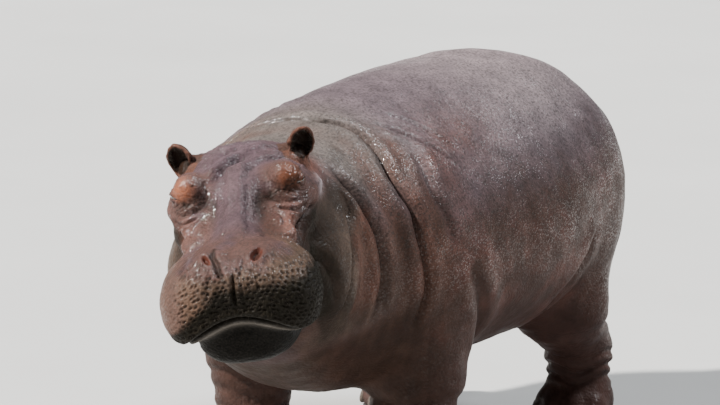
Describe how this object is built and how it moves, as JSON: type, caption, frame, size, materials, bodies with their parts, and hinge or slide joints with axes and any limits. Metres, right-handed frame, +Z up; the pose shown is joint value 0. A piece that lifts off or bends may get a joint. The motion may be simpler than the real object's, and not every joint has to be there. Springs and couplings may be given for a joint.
{
  "type": "hippopotamus",
  "caption": "Life-size still model of a standing hippopotamus: barrel body on short legs, broad muzzle, head turned to its left.",
  "frame": {"origin": "On the floor, under the middle of the bounding box.", "axes": "+Z up. The animal faces -Y, so +Y runs back along the body, and its left side is +X."},
  "size_m": [1.1712, 3.1488, 1.3547],
  "materials": {
    "hide": "wet, grey-brown above and pinkish brown below",
    "ear_skin": "dark inside with a pinkish rim",
    "eye": "dark brown and wet",
    "nail": "worn horn"
  },
  "bodies": {
    "root": {"head": "hide", "lower_jaw": "hide", "neck": "hide", "trunk": "hide", "tail": "hide", "foreleg_left": "hide", "foreleg_right": "hide", "hindleg_left": "hide", "hindleg_right": "hide", "ear_left": "ear_skin", "ear_right": "ear_skin", "eye_left": "eye", "eye_right": "eye", "foreleg_left_nail_1": "nail", "foreleg_left_nail_2": "nail", "foreleg_left_nail_3": "nail", "foreleg_left_nail_4": "nail", "foreleg_right_nail_1": "nail", "foreleg_right_nail_2": "nail", "foreleg_right_nail_3": "nail", "foreleg_right_nail_4": "nail", "hindleg_left_nail_1": "nail", "hindleg_left_nail_2": "nail", "hindleg_left_nail_3": "nail", "hindleg_left_nail_4": "nail", "hindleg_right_nail_1": "nail", "hindleg_right_nail_2": "nail", "hindleg_right_nail_3": "nail", "hindleg_right_nail_4": "nail"}
  },
  "joints": []
}
